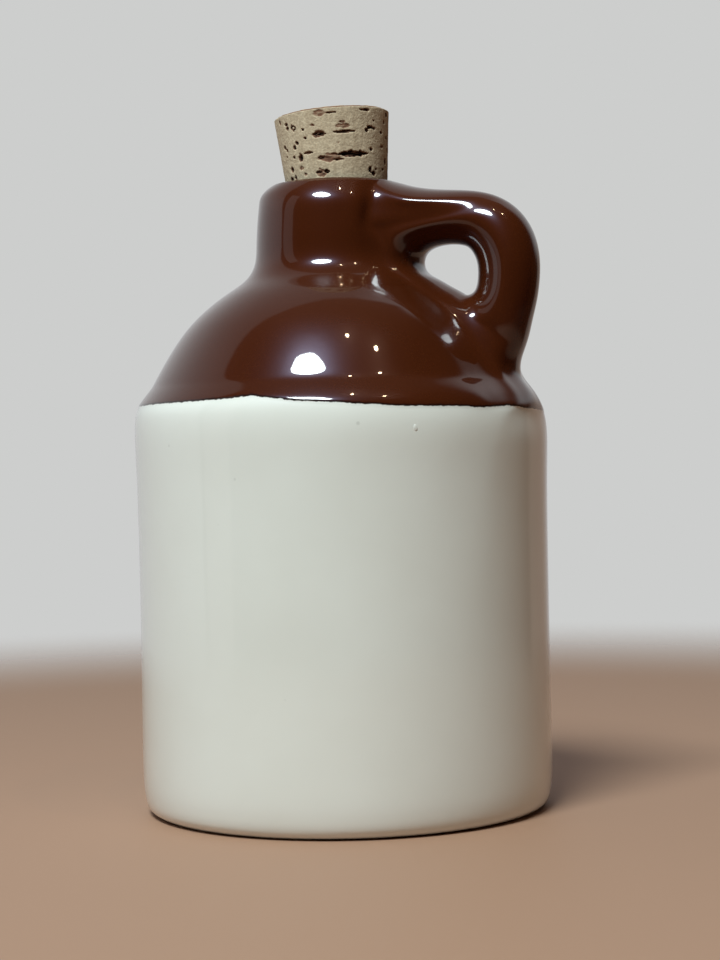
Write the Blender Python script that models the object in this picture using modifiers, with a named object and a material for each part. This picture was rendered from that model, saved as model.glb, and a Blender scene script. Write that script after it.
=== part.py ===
"""Small slip-cast ceramic jug with a finger-ring handle, and the tapered cork that stops its mouth.

The jug stands on the plane z = 0 with its turning axis on the Z axis and its handle towards +X.
Sizes in the constants are millimetres and degrees; the meshes are built in metres.
"""
import math

import bmesh
import bpy
from mathutils import Matrix, Vector

MM = 0.001

# Outer surface of body and neck, as (radius, height) from the foot up to the rim
FOOT_RADII = [0.0, 14.0, 28.0, 35.6, 36.8]
WALL_OUTLINE = [(38.7, 1.0), (39.55, 4.2), (39.8, 12.0), (39.7, 36.0), (39.75, 60.0), (40.0, 70.5)]
SHOULDER_OUTLINE = [(39.8, 75.2), (39.0, 78.0), (37.1, 80.6), (35.95, 82.0), (34.8, 83.9), (32.3, 88.1),
                    (29.05, 92.7), (25.4, 96.4), (21.4, 99.5), (17.8, 102.0), (15.8, 104.6)]
NECK_OUTLINE = [(15.15, 107.2), (15.0, 109.8), (14.85, 112.2), (14.65, 114.6), (14.4, 116.8)]
RIM_OUTLINE = [(13.9, 118.9), (12.8, 120.5), (11.5, 120.8)]

# Hollow, as (radius, height) from the mouth down to the floor
BORE_RADIUS = 10.4
BORE_OUTLINE = [(10.5, 119.2), (BORE_RADIUS, 114.0), (BORE_RADIUS, 106.0), (11.2, 101.2)]
INNER_SHOULDER_OUTLINE = [(16.0, 96.6), (23.6, 91.4), (29.4, 85.0), (34.0, 78.5)]
INNER_RADIUS = 35.8
INNER_WALL_HEIGHTS = [72.0, 40.0, 10.5]
INNER_CORNER = (34.2, 6.4)
FLOOR_HEIGHT = 5.0
FLOOR_RADII = [29.4, 15.0, 0.0]

# The rim is rounded off more towards one side, by these amounts on the rings from the top of the neck up
RIM_WEAR = [0.2, 0.85, 0.9, 0.3]
RIM_WEAR_TOWARDS = -65.0

# Shoulder and neck stand a little aside of the axis outside, as cast: not at all at the first height and by
# the whole amount from the second one up
ASIDE = 0.6
ASIDE_TOWARDS = 205.0
ASIDE_HEIGHTS = (70.0, 86.0)

# Turned mesh: columns round the axis, how many rings beyond the handle they take to spread out evenly,
# and how often the cage is corrected
COLUMNS = 28
EVEN_SPACES_AFTER = 5
CAGE_PASSES = 4
MERGE_DISTANCE = 0.01

# Ring handle, drawn in the plane y = 0, from the rim out, down and back to the shoulder.
# Each point stands beside one ring of the neck or the shoulder, from ROOT_TOP down.
ROOT_TOP = RIM_OUTLINE[0]
HANDLE_OUTLINE = [(15.2, 119.7), (20.5, 118.4), (27.2, 117.7), (33.1, 116.2), (37.8, 113.0), (40.4, 108.7),
                  (41.3, 104.2), (41.1, 99.9), (40.5, 95.9), (39.5, 92.0), (38.4, 88.4), (37.3, 85.6),
                  (37.0, 83.2), (37.5, 81.9), (38.3, 80.7), (39.8, 78.2)]
HANDLE_HALF_WIDTH = 5.9
HANDLE_BAR_THICKNESS = 11.0

# How far the outline has to stand off its ring for the section to be the whole bar
BAR_CLEAR = 3.2

# The bar broadens from x = 27.5 to x = 18, by this share of the way, at the heights above the finger hole
BAR_FLARE = 0.22
BAR_FLARE_SPAN = (27.5, 18.0)
FLARE_HEIGHTS = (102.0, 108.0)

# Section of the bar: width of its corners and its flank as shares of its half width, and how far the corners
# drop as a share of its half thickness. Both widths are larger below the finger hole.
CORNER_WIDTH_SHARE = 0.72
CORNER_DROP_SHARE = 0.30
SIDE_WIDTH_SHARE = 0.97
LOW_CORNER_WIDTH_SHARE = 0.86
LOW_SIDE_WIDTH_SHARE = 1.08

# Middle of the flank above the finger hole in rows 1 to 3, as (x, z), and below it as a share of the way from
# the shoulder out to the outline
TOP_BAR_SIDES = [(17.6, 115.6), (21.8, 114.9), (25.6, 113.4)]
SIDE_SHARE_AT_HOLE = 0.30
SIDE_SHARE_GAIN = 0.04

# Half the width of the handle's root, row by row down from the rim
ROOT_HALF_WIDTHS = [7.4, 7.4, 7.5, 7.7, 7.9, 8.0, 8.0, 7.9, 7.8, 7.8, 7.8, 7.8, 7.9, 8.1, 8.4, 8.8]
ROOT_COLUMN = 3

# Down the shoulder the first gap beside the root is narrower than the others, and the next ones widen from it
FIRST_GAP_SHARE = 0.55
GAP_GROWTH = 0.65
EVEN_GAPS_TO_ROW = 3
NARROW_GAPS_FROM_ROW = 10

# Finger hole, drawn in the plane y = 0, where it is narrowest, as (x, z, how far its edge on the face of the
# handle stands back), from the top corner beside the bar down, round below and up beside the neck.
# Each point stands on one vertex round a flank of the handle.
HOLE_OUTLINE = [(27.0, 107.25, 3.4), (28.5, 106.0, 4.0), (29.3, 104.4, 4.6), (29.3, 102.7, 5.2),
                (29.25, 101.2, 5.4), (29.15, 99.9, 5.4), (28.7, 98.8, 5.0), (27.9, 98.2, 4.2),
                (26.9, 98.2, 3.2), (25.7, 98.8, 2.2), (24.0, 99.75, 1.5), (22.1, 100.75, 1.1),
                (20.1, 101.75, 1.1), (18.5, 102.9, 1.6), (17.85, 104.5, 2.0), (18.1, 106.1, 2.3),
                (19.7, 107.3, 2.6), (23.2, 107.7, 2.9)]
HOLE_CENTRE = (24.0, 102.4)
HOLE_FIRST_ROW = 3
HOLE_LAST_ROW = 10
HOLE_EDGE_WIDTH_SHARE = 0.9
INSET_DEPTH = 0.3
FLANK_BLEND_SHARE = 0.65

# Cork stopper
CORK_TOP_RADIUS = 11.2
CORK_BOTTOM_RADIUS = 8.7
CORK_LENGTH = 25.4
CORK_TOP_HEIGHT = 134.5
CORK_LEAN = 3.5
CORK_LEAN_TOWARDS = 205.0
CORK_ASIDE = 0.25
CORK_EDGE = 0.4
CORK_SIDES = 48


def start_scene():
    """Removes what the scene holds and returns the collection for the jug."""
    for old in list(bpy.data.objects):
        bpy.data.objects.remove(old, do_unlink=True)
    collection = bpy.data.collections.new("ceramic_jug")
    bpy.context.scene.collection.children.link(collection)
    return collection


def principled(name, colour, roughness):
    """A plain material with one colour and roughness."""
    material = bpy.data.materials.new(name)
    material.use_nodes = True
    shader = material.node_tree.nodes["Principled BSDF"]
    shader.inputs["Base Color"].default_value = (*colour, 1.0)
    shader.inputs["Roughness"].default_value = roughness
    shader.inputs["Metallic"].default_value = 0.0
    return material


def add_object(name, bm, material, collection):
    """Makes an object of a finished mesh."""
    mesh = bpy.data.meshes.new(name)
    bmesh.ops.recalc_face_normals(bm, faces=bm.faces)
    bm.to_mesh(mesh)
    bm.free()
    mesh.materials.append(material)
    mesh.shade_smooth()
    item = bpy.data.objects.new(name, mesh)
    collection.objects.link(item)
    return item


def jug_outline():
    """The turned outline, from the middle of the base up over the rim and down inside to the floor."""
    base = [(radius, 0.0) for radius in FOOT_RADII]
    outside = base + WALL_OUTLINE + SHOULDER_OUTLINE + NECK_OUTLINE + RIM_OUTLINE
    inner_wall = [(INNER_RADIUS, height) for height in INNER_WALL_HEIGHTS]
    floor = [(radius, FLOOR_HEIGHT) for radius in FLOOR_RADII]
    return outside + BORE_OUTLINE + INNER_SHOULDER_OUTLINE + inner_wall + [INNER_CORNER] + floor


def smooth_share(value, start, end):
    """Rises smoothly from 0 at start to 1 at end."""
    share = min(max((value - start) / (end - start), 0.0), 1.0)
    return share * share * (3 - 2 * share)


def bar_half_width(x, z):
    """Half the width of the handle's bar at a point of its middle plane."""
    flare = BAR_FLARE * max(BAR_FLARE_SPAN[0] - max(x, BAR_FLARE_SPAN[1]), 0.0)
    return HANDLE_HALF_WIDTH + flare * smooth_share(z, *FLARE_HEIGHTS)


class JugCage:
    """The coarse mesh of the jug. Each vertex knows its ring up the outline and its column round the axis."""

    def __init__(self):
        self.bm = bmesh.new()
        self.ring = self.bm.verts.layers.int.new("ring")
        self.column = self.bm.verts.layers.int.new("column")
        self.outline = jug_outline()
        self.top = self.outline.index(ROOT_TOP)
        self.bottom = self.top + 1 - len(HANDLE_OUTLINE)

    def rows(self, face):
        """Rows of the handle that a face spans, counted down from the top of its root."""
        return [self.top - vert[self.ring] for vert in face.verts]

    def turn(self):
        """Spins the outline into a closed surface and raises the handle's columns from it."""
        points = [self.bm.verts.new((radius * MM, 0.0, height * MM)) for radius, height in self.outline]
        for ring, vert in enumerate(points):
            vert[self.ring] = ring
        edges = [self.bm.edges.new(pair) for pair in zip(points, points[1:])]
        bmesh.ops.spin(self.bm, geom=points + edges, cent=(0, 0, 0), axis=(0, 0, 1), angle=2 * math.pi,
                       steps=COLUMNS, use_merge=True)
        bmesh.ops.remove_doubles(self.bm, verts=self.bm.verts, dist=MERGE_DISTANCE * MM)
        for vert in self.bm.verts:
            if math.hypot(vert.co.x, vert.co.y) > MERGE_DISTANCE * MM:
                turns = math.atan2(vert.co.y, vert.co.x) / (2 * math.pi)
                vert[self.column] = round(turns * COLUMNS)
            row = self.top - vert[self.ring]
            if 0 <= row < len(HANDLE_OUTLINE) and abs(vert[self.column]) < ROOT_COLUMN:
                vert.co = self.handle_place(row, vert[self.column])
            else:
                vert.co = self.round_place(vert[self.ring], vert[self.column])

    def root_half_width(self, ring):
        """Half the width of the handle's root at a ring."""
        return ROOT_HALF_WIDTHS[min(max(self.top - ring, 0), len(ROOT_HALF_WIDTHS) - 1)]

    def round_place(self, ring, column):
        """A place on a ring. Beside the handle the columns close up until column 3 stands at its root."""
        radius, height = self.outline[ring]
        even = 2 * math.pi / COLUMNS
        rings_away = max(self.bottom - ring, ring - self.top, 0)
        closed = max(0.0, 1.0 - rings_away / EVEN_SPACES_AFTER)
        root = math.asin(self.root_half_width(ring) / max(radius, NECK_OUTLINE[0][0]))
        root = ROOT_COLUMN * even + (root - ROOT_COLUMN * even) * closed
        beyond = abs(column) - ROOT_COLUMN
        angle = root * abs(column) / ROOT_COLUMN
        if beyond > 0:
            narrow = smooth_share(self.top - ring, EVEN_GAPS_TO_ROW, NARROW_GAPS_FROM_ROW) * closed
            count = COLUMNS // 2 - ROOT_COLUMN
            gaps = [1 - (1 - FIRST_GAP_SHARE) * narrow * GAP_GROWTH ** gap for gap in range(count)]
            angle = root + (math.pi - root) * sum(gaps[:beyond]) / sum(gaps)
        angle = math.copysign(angle, column)
        worn_ring = ring - self.outline.index(NECK_OUTLINE[-1])
        if 0 <= worn_ring < len(RIM_WEAR):
            radius -= RIM_WEAR[worn_ring] * max(math.cos(angle - math.radians(RIM_WEAR_TOWARDS)), 0.0)
        x, y = radius * math.cos(angle), radius * math.sin(angle)
        aside = ASIDE * smooth_share(height, *ASIDE_HEIGHTS) if ring <= self.top else 0.0
        x += aside * math.cos(math.radians(ASIDE_TOWARDS))
        y += aside * math.sin(math.radians(ASIDE_TOWARDS))
        return Vector((x, y, height)) * MM

    def handle_place(self, row, column):
        """A place on the handle: column 0 on its outline, 1 on the corner of the bar and 2 on its flank."""
        x, z = HANDLE_OUTLINE[row]
        ring = self.top - row
        radius, height = self.outline[ring]
        deep = min(math.hypot(x - radius, z - height) / BAR_CLEAR, 1.0)
        drop = HANDLE_BAR_THICKNESS / 2 * CORNER_DROP_SHARE * deep
        low = smooth_share(row, HOLE_LAST_ROW - 3, HOLE_LAST_ROW)
        corner_share = CORNER_WIDTH_SHARE + (LOW_CORNER_WIDTH_SHARE - CORNER_WIDTH_SHARE) * low
        side_share = SIDE_WIDTH_SHARE + (LOW_SIDE_WIDTH_SHARE - SIDE_WIDTH_SHARE) * low
        even = self.root_half_width(ring) / ROOT_COLUMN * abs(column)
        bar = bar_half_width(x, z) * (0.0, corner_share, side_share)[abs(column)]
        y = even + (bar - even) * deep
        sag = radius - math.sqrt(radius * radius - y * y)
        if abs(column) == 1:
            before = Vector(HANDLE_OUTLINE[max(row - 1, 0)])
            after = Vector(HANDLE_OUTLINE[min(row + 1, len(HANDLE_OUTLINE) - 1)])
            along = (after - before).normalized()
            x += along.y * drop - sag * (1.0 - deep)
            z -= along.x * drop
        elif abs(column) == 2 and 1 <= row <= len(TOP_BAR_SIDES):
            x, z = TOP_BAR_SIDES[row - 1]
            y = bar_half_width(x, z) * SIDE_WIDTH_SHARE
        elif abs(column) == 2:
            share = SIDE_SHARE_AT_HOLE + SIDE_SHARE_GAIN * (row - HOLE_LAST_ROW)
            x = radius - sag + (x - radius + sag * deep) * share
            z = height + (z - height) * share
        return Vector((x, math.copysign(y, column), z)) * MM

    def flanks(self):
        """The faces on both sides of the handle through which the finger hole goes."""
        sides = {-1: [], 1: []}
        for face in self.bm.faces:
            columns = [vert[self.column] for vert in face.verts]
            nearest = min(abs(column) for column in columns)
            furthest = max(abs(column) for column in columns)
            rows = self.rows(face)
            beside_hole = min(rows) >= HOLE_FIRST_ROW and max(rows) <= HOLE_LAST_ROW
            if beside_hole and nearest >= 1 and furthest <= ROOT_COLUMN:
                sides[1 if columns[0] > 0 else -1].append(face)
        return sides

    def hole_place(self, vert):
        """The point of the hole's outline that belongs to a vertex round a flank."""
        row = self.top - vert[self.ring]
        column = abs(vert[self.column])
        if column == 1:
            return HOLE_OUTLINE[row - HOLE_FIRST_ROW]
        if column == ROOT_COLUMN:
            return HOLE_OUTLINE[len(HOLE_OUTLINE) - 2 - (row - HOLE_FIRST_ROW)]
        return HOLE_OUTLINE[-1] if row == HOLE_FIRST_ROW else HOLE_OUTLINE[HOLE_LAST_ROW - HOLE_FIRST_ROW + 1]

    def flank_place(self, vert):
        """Half way from a vertex round a flank to the edge of the hole, on the face of the handle."""
        edge = self.edge_place(vert)
        middle = (vert.co + edge) / 2
        middle.y = edge.y + (abs(vert.co.y) - edge.y) * FLANK_BLEND_SHARE
        if abs(vert[self.column]) == 1:
            middle.y = bar_half_width(middle.x / MM, middle.z / MM) * MM
        return middle

    def edge_place(self, vert):
        """On the edge of the hole's funnel: out from its outline and near the face of the handle."""
        x, z, back = self.hole_place(vert)
        out = (Vector((x, z)) - Vector(HOLE_CENTRE)).normalized() * back
        return Vector((x + out.x, bar_half_width(x, z) * HOLE_EDGE_WIDTH_SHARE, z + out.y)) * MM

    def open_finger_hole(self):
        """Insets both flanks twice towards the hole, then takes out their middles and joins the edges."""
        edges = []
        for side, middle in self.flanks().items():
            for place in (self.flank_place, self.edge_place):
                bmesh.ops.inset_region(self.bm, faces=middle, thickness=INSET_DEPTH * MM, use_boundary=True)
                inside = {vert for face in middle for vert in face.verts}
                rim = boundary(middle)
                for vert in {vert for edge in rim for vert in edge.verts}:
                    root = next(edge.other_vert(vert) for edge in vert.link_edges
                                if edge.other_vert(vert) not in inside)
                    vert[self.ring] = root[self.ring]
                    vert[self.column] = root[self.column]
                    vert.co = place(root)
                    vert.co.y *= side
            edges += rim
            bmesh.ops.delete(self.bm, geom=middle, context="FACES")
        wall = bmesh.ops.bridge_loops(self.bm, edges=edges)["edges"]
        across = [edge for edge in wall if edge.verts[0].co.y * edge.verts[1].co.y < 0]
        cut = bmesh.ops.subdivide_edges(self.bm, edges=across, cuts=1)
        for item in cut["geom_inner"]:
            if isinstance(item, bmesh.types.BMVert):
                beside = next(edge.other_vert(item) for edge in item.link_edges
                              if abs(edge.other_vert(item).co.y) > MERGE_DISTANCE * MM)
                x, z, _ = self.hole_place(beside)
                item.co = Vector((x, 0.0, z)) * MM

    def tighten(self):
        """Moves the cage out until smoothing takes its vertices back to where they were drawn.

        The foot stays in the plane it stands on.
        """
        drawn = {vert: vert.co.copy() for vert in self.bm.verts
                 if all(len(face.verts) == 4 for face in vert.link_faces)}
        for _ in range(CAGE_PASSES):
            moves = {vert: target - smoothed(vert) for vert, target in drawn.items()}
            for vert, move in moves.items():
                if vert[self.ring] < len(FOOT_RADII):
                    move.z = 0.0
                vert.co += move


def boundary(faces):
    """Edges that have just one of the faces on them."""
    count = {}
    for face in faces:
        for edge in face.edges:
            count[edge] = count.get(edge, 0) + 1
    return [edge for edge, uses in count.items() if uses == 1]


def smoothed(vert):
    """Where repeated Catmull-Clark smoothing takes a vertex that has four-sided faces round it."""
    count = len(vert.link_faces)
    total = vert.co * count * count
    for edge in vert.link_edges:
        total += edge.other_vert(vert).co * 4
    for face in vert.link_faces:
        corners = list(face.verts)
        total += corners[(corners.index(vert) + 2) % 4].co
    return total / (count * (count + 5))


def build_jug(collection):
    """The jug: body, neck and ring handle cast in one piece, hollow and open at the mouth."""
    cage = JugCage()
    cage.turn()
    cage.open_finger_hole()
    cage.tighten()
    glaze = principled("brown_and_white_glaze", (0.05, 0.015, 0.006), 0.1)
    jug = add_object("jug", cage.bm, glaze, collection)
    smooth = jug.modifiers.new("smooth", "SUBSURF")
    smooth.levels = 1
    smooth.render_levels = 1
    return jug


def build_cork(collection):
    """The stopper: a tapered natural cork that leans a little in the mouth."""
    bm = bmesh.new()
    bmesh.ops.create_cone(bm, cap_ends=True, segments=CORK_SIDES, radius1=CORK_BOTTOM_RADIUS * MM,
                          radius2=CORK_TOP_RADIUS * MM, depth=CORK_LENGTH * MM)
    rims = [edge for edge in bm.edges if abs(edge.verts[0].co.z - edge.verts[1].co.z) < MERGE_DISTANCE * MM]
    bmesh.ops.bevel(bm, geom=rims, offset=CORK_EDGE * MM, affect="EDGES", segments=1, profile=0.5,
                    material=-1)
    cork = add_object("cork_stopper", bm, principled("natural_cork", (0.45, 0.34, 0.22), 0.8), collection)
    cork.data.set_sharp_from_angle(angle=math.radians(30))
    towards = math.radians(CORK_LEAN_TOWARDS)
    lean_axis = Vector((-math.sin(towards), math.cos(towards), 0.0))
    above_rim = CORK_TOP_HEIGHT - RIM_OUTLINE[-1][1]
    aside = above_rim * math.tan(math.radians(CORK_LEAN)) - CORK_ASIDE
    top = Vector((aside * math.cos(towards), aside * math.sin(towards), CORK_TOP_HEIGHT)) * MM
    cork.matrix_world = (Matrix.Translation(top)
                         @ Matrix.Rotation(math.radians(CORK_LEAN), 4, lean_axis)
                         @ Matrix.Translation((0.0, 0.0, -CORK_LENGTH / 2 * MM)))
    return cork


jug_collection = start_scene()
build_jug(jug_collection)
build_cork(jug_collection)
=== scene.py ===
# A small slip-cast jug in brown and white glaze, with a ring handle and a natural cork stopper.
# Sizes are in millimetres and degrees where they are named, and in metres in the meshes.
import math
import random

import bmesh
import bpy
from mathutils import Matrix, Vector, kdtree, noise


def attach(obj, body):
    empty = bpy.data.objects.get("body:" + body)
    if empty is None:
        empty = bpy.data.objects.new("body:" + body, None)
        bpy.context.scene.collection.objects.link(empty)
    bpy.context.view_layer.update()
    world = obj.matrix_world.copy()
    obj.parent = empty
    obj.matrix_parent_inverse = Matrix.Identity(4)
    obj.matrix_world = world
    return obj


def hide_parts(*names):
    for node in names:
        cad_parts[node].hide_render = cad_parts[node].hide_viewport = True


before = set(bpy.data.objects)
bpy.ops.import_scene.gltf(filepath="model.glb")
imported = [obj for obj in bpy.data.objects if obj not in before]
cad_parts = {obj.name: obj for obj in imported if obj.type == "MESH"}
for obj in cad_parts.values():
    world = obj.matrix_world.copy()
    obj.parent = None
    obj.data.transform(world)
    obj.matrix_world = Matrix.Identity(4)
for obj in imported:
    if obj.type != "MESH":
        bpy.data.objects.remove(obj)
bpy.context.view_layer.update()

MM = 0.001

# Jug, the bare shape
# The real piece is white earthenware slip cast in a plaster mould, so body, neck and ring handle are one
# wall of clay. Here its outline is spun into a coarse cage, the handle is raised from the cage's columns
# and holed, and smoothing makes the skin.
FOOT_RADII = [0.0, 14.0, 28.0, 35.6, 36.8]
WALL_OUTLINE = [(38.7, 1.0), (39.55, 4.2), (39.8, 12.0), (39.7, 36.0), (39.75, 60.0), (40.0, 70.5)]
SHOULDER_OUTLINE = [(39.8, 75.2), (39.0, 78.0), (37.1, 80.6), (35.95, 82.0), (34.8, 83.9), (32.3, 88.1),
                    (29.05, 92.7), (25.4, 96.4), (21.4, 99.5), (17.8, 102.0), (15.8, 104.6)]
NECK_OUTLINE = [(15.15, 107.2), (15.0, 109.8), (14.85, 112.2), (14.65, 114.6), (14.4, 116.8)]
RIM_OUTLINE = [(13.9, 118.9), (12.8, 120.5), (11.5, 120.8)]
BORE_OUTLINE = [(10.5, 119.2), (10.4, 114.0), (10.4, 106.0), (11.2, 101.2)]
INNER_OUTLINE = [(16.0, 96.6), (23.6, 91.4), (29.4, 85.0), (34.0, 78.5), (35.8, 72.0), (35.8, 40.0),
                 (35.8, 10.5), (34.2, 6.4), (29.4, 5.0), (15.0, 5.0), (0.0, 5.0)]
FOOT_OUTLINE = [(radius, 0.0) for radius in FOOT_RADII]
OUTER_OUTLINE = FOOT_OUTLINE + WALL_OUTLINE + SHOULDER_OUTLINE + NECK_OUTLINE + RIM_OUTLINE
OUTLINE = OUTER_OUTLINE + BORE_OUTLINE + INNER_OUTLINE

# Columns of the cage round the axis; they close up beside the handle, and are even this many rings away
COLUMNS = 28
EVEN_SPACES_AFTER = 5
CAGE_PASSES = 4
MERGE_DISTANCE = 0.01
SMOOTHING_LEVELS = 3

# The rim is rounded off more towards the front, by these amounts on the rings from the top of the neck
RIM_WEAR = [0.2, 0.85, 0.9, 0.3]
RIM_WEAR_TOWARDS = -65.0
RIM_WEAR_FIRST_RING = OUTLINE.index(NECK_OUTLINE[-1])

# The neck was cast a little aside of the axis, which starts at the first height and is full at the second
ASIDE = 0.6
ASIDE_TOWARDS = 205.0
ASIDE_HEIGHTS = (70.0, 86.0)

# Handle in the plane y = 0, one point beside each ring from the rim down to the shoulder
HANDLE_OUTLINE = [(15.2, 119.8), (20.5, 118.7), (27.3, 118.1), (33.3, 116.7), (38.1, 113.4), (40.7, 108.9),
                  (41.6, 104.2), (41.4, 99.9), (40.7, 95.9), (39.5, 92.0), (38.4, 88.4), (37.3, 85.6),
                  (37.0, 83.2), (37.5, 81.9), (38.3, 80.7), (39.8, 78.2)]
HANDLE_TOP_RING = OUTLINE.index(RIM_OUTLINE[0])
HANDLE_LAST_ROW = len(HANDLE_OUTLINE) - 1
HANDLE_HALF_WIDTH = 5.9
HANDLE_BAR_THICKNESS = 11.0

# The bar has its full width where the outline stands this far off the body
BAR_CLEAR = 3.2

# Where the middle of the flank stands, from 0 on the body to 1 on the outline, and how that grows by the row
SIDE_SHARE_AT_HOLE = 0.30
SIDE_SHARE_GAIN = 0.04

# Widths of the bar's corner and flank as shares of its half width, and those that the last rows change to
CORNER_WIDTH_SHARE = 0.72
SIDE_WIDTH_SHARE = 0.97
LOW_CORNER_WIDTH_SHARE = 0.86
LOW_SIDE_WIDTH_SHARE = 1.08
LOW_WIDTH_ROWS = 3

# The corner stands in from the outline by this share of half the bar's thickness
CORNER_DROP_SHARE = 0.30

# Half the width of the handle's root in each row; column 3 of the cage stands there
ROOT_HALF_WIDTHS = [7.4, 7.4, 7.5, 7.7, 7.9, 8.0, 8.0, 7.9, 7.8, 7.8, 7.8, 7.8, 7.9, 8.1, 8.4, 8.8]
ROOT_COLUMN = 3

# The bar is broader towards the neck; the middle of its flank there, as (x, z) in rows 1 to 3
BAR_FLARE = 0.22
BAR_FLARE_SPAN = (27.5, 18.0)
FLARE_SPAN_Z = (102.0, 108.0)
TOP_BAR_SIDES = [(17.6, 115.6), (21.8, 114.9), (25.6, 113.4)]

# Below the neck the first gap beside the root is narrower than the others, and the next ones widen from it
FIRST_GAP_SHARE = 0.55
GAP_GROWTH = 0.65
EVEN_GAPS_TO_ROW = 3
NARROW_GAPS_FROM_ROW = 10

# Finger hole in the same plane, where it is narrowest, as (x, z, how far its edge on the face stands back),
# from the top corner beside the bar down
HOLE_OUTLINE = [(26.5, 106.8, 4.1), (27.7, 105.6, 4.9), (28.2, 104.2, 5.7), (28.3, 102.7, 6.2),
                (28.2, 101.3, 6.4), (28.1, 100.2, 6.3), (27.7, 99.3, 5.9), (27.0, 98.8, 5.0),
                (26.2, 98.8, 3.9), (25.2, 99.4, 2.8), (23.8, 100.2, 2.0), (22.1, 101.1, 1.5),
                (20.1, 102.0, 1.4), (18.5, 103.0, 1.8), (17.85, 104.4, 2.1), (18.2, 105.7, 2.6),
                (19.8, 106.8, 3.1), (23.2, 107.2, 3.4)]
HOLE_CENTRE = (24.0, 102.4)
HOLE_FIRST_ROW = 3
HOLE_LAST_ROW = 10
HOLE_LOWEST = HOLE_LAST_ROW - HOLE_FIRST_ROW + 1
HOLE_EDGE_WIDTH_SHARE = 0.9
FLANK_BLEND_SHARE = 0.65
INSET_DEPTH = 0.3


def root_half_width(ring):
    """Half the width of the handle's root at a ring."""
    return ROOT_HALF_WIDTHS[min(max(HANDLE_TOP_RING - ring, 0), HANDLE_LAST_ROW)]


def smooth_share(value, start, end):
    """Rises smoothly from 0 at start to 1 at end."""
    share = min(max((value - start) / (end - start), 0.0), 1.0)
    return share * share * (3 - 2 * share)


def bar_half_width(x, z):
    """Half the width of the handle's bar at a point of its middle plane."""
    flare = BAR_FLARE * max(BAR_FLARE_SPAN[0] - max(x, BAR_FLARE_SPAN[1]), 0.0)
    return HANDLE_HALF_WIDTH + flare * smooth_share(z, *FLARE_SPAN_Z)


def ring_place(ring, column):
    """A place on a ring; beside the handle the columns close up until column 3 stands at its root."""
    radius, height = OUTLINE[ring]
    even = 2 * math.pi / COLUMNS
    rings_away = max(HANDLE_TOP_RING - HANDLE_LAST_ROW - ring, ring - HANDLE_TOP_RING, 0)
    closed = max(0.0, 1.0 - rings_away / EVEN_SPACES_AFTER)
    root = math.asin(root_half_width(ring) / max(radius, NECK_OUTLINE[0][0]))
    root = ROOT_COLUMN * even + (root - ROOT_COLUMN * even) * closed
    angle = root * abs(column) / ROOT_COLUMN
    if abs(column) > ROOT_COLUMN:
        narrow = smooth_share(HANDLE_TOP_RING - ring, EVEN_GAPS_TO_ROW, NARROW_GAPS_FROM_ROW) * closed
        loss = (1.0 - FIRST_GAP_SHARE) * narrow
        gaps = [1.0 - loss * GAP_GROWTH ** count for count in range(COLUMNS // 2 - ROOT_COLUMN)]
        angle = root + (math.pi - root) * sum(gaps[:abs(column) - ROOT_COLUMN]) / sum(gaps)
    angle = math.copysign(angle, column)
    if 0 <= ring - RIM_WEAR_FIRST_RING < len(RIM_WEAR):
        facing = max(math.cos(angle - math.radians(RIM_WEAR_TOWARDS)), 0.0)
        radius -= RIM_WEAR[ring - RIM_WEAR_FIRST_RING] * facing
    aside = ASIDE * smooth_share(height, *ASIDE_HEIGHTS) if ring <= HANDLE_TOP_RING else 0.0
    x = radius * math.cos(angle) + aside * math.cos(math.radians(ASIDE_TOWARDS))
    y = radius * math.sin(angle) + aside * math.sin(math.radians(ASIDE_TOWARDS))
    return Vector((x, y, height)) * MM


def handle_place(row, column):
    """A place on the handle: column 0 on its outline, 1 on the corner of the bar and 2 on its flank."""
    x, z = HANDLE_OUTLINE[row]
    radius, height = OUTLINE[HANDLE_TOP_RING - row]
    deep = min(math.hypot(x - radius, z - height) / BAR_CLEAR, 1.0)
    drop = HANDLE_BAR_THICKNESS / 2 * CORNER_DROP_SHARE * deep
    even = root_half_width(HANDLE_TOP_RING - row) / ROOT_COLUMN * abs(column)
    low = smooth_share(row, HOLE_LAST_ROW - LOW_WIDTH_ROWS, HOLE_LAST_ROW)
    corner_share = CORNER_WIDTH_SHARE + (LOW_CORNER_WIDTH_SHARE - CORNER_WIDTH_SHARE) * low
    side_share = SIDE_WIDTH_SHARE + (LOW_SIDE_WIDTH_SHARE - SIDE_WIDTH_SHARE) * low
    bar = bar_half_width(x, z) * (0.0, corner_share, side_share)[abs(column)]
    y = even + (bar - even) * deep
    sag = radius - math.sqrt(radius * radius - y * y)
    if abs(column) == 1:
        before = Vector(HANDLE_OUTLINE[max(row - 1, 0)])
        after = Vector(HANDLE_OUTLINE[min(row + 1, HANDLE_LAST_ROW)])
        along = (after - before).normalized()
        x += along.y * drop - sag * (1.0 - deep)
        z -= along.x * drop
    elif abs(column) == 2:
        share = SIDE_SHARE_AT_HOLE + SIDE_SHARE_GAIN * (row - HOLE_LAST_ROW)
        x = radius - sag + (x - radius + sag * deep) * share
        z = height + (z - height) * share
        if 1 <= row <= len(TOP_BAR_SIDES):
            x, z = TOP_BAR_SIDES[row - 1]
            y = bar_half_width(x, z) * SIDE_WIDTH_SHARE
    return Vector((x, math.copysign(y, column), z)) * MM


cage = bmesh.new()
ring_of = cage.verts.layers.int.new("ring")
column_of = cage.verts.layers.int.new("column")


def row_of(vert):
    """Row of the handle that a vertex of the cage belongs to, counted down from the rim."""
    return HANDLE_TOP_RING - vert[ring_of]


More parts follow.
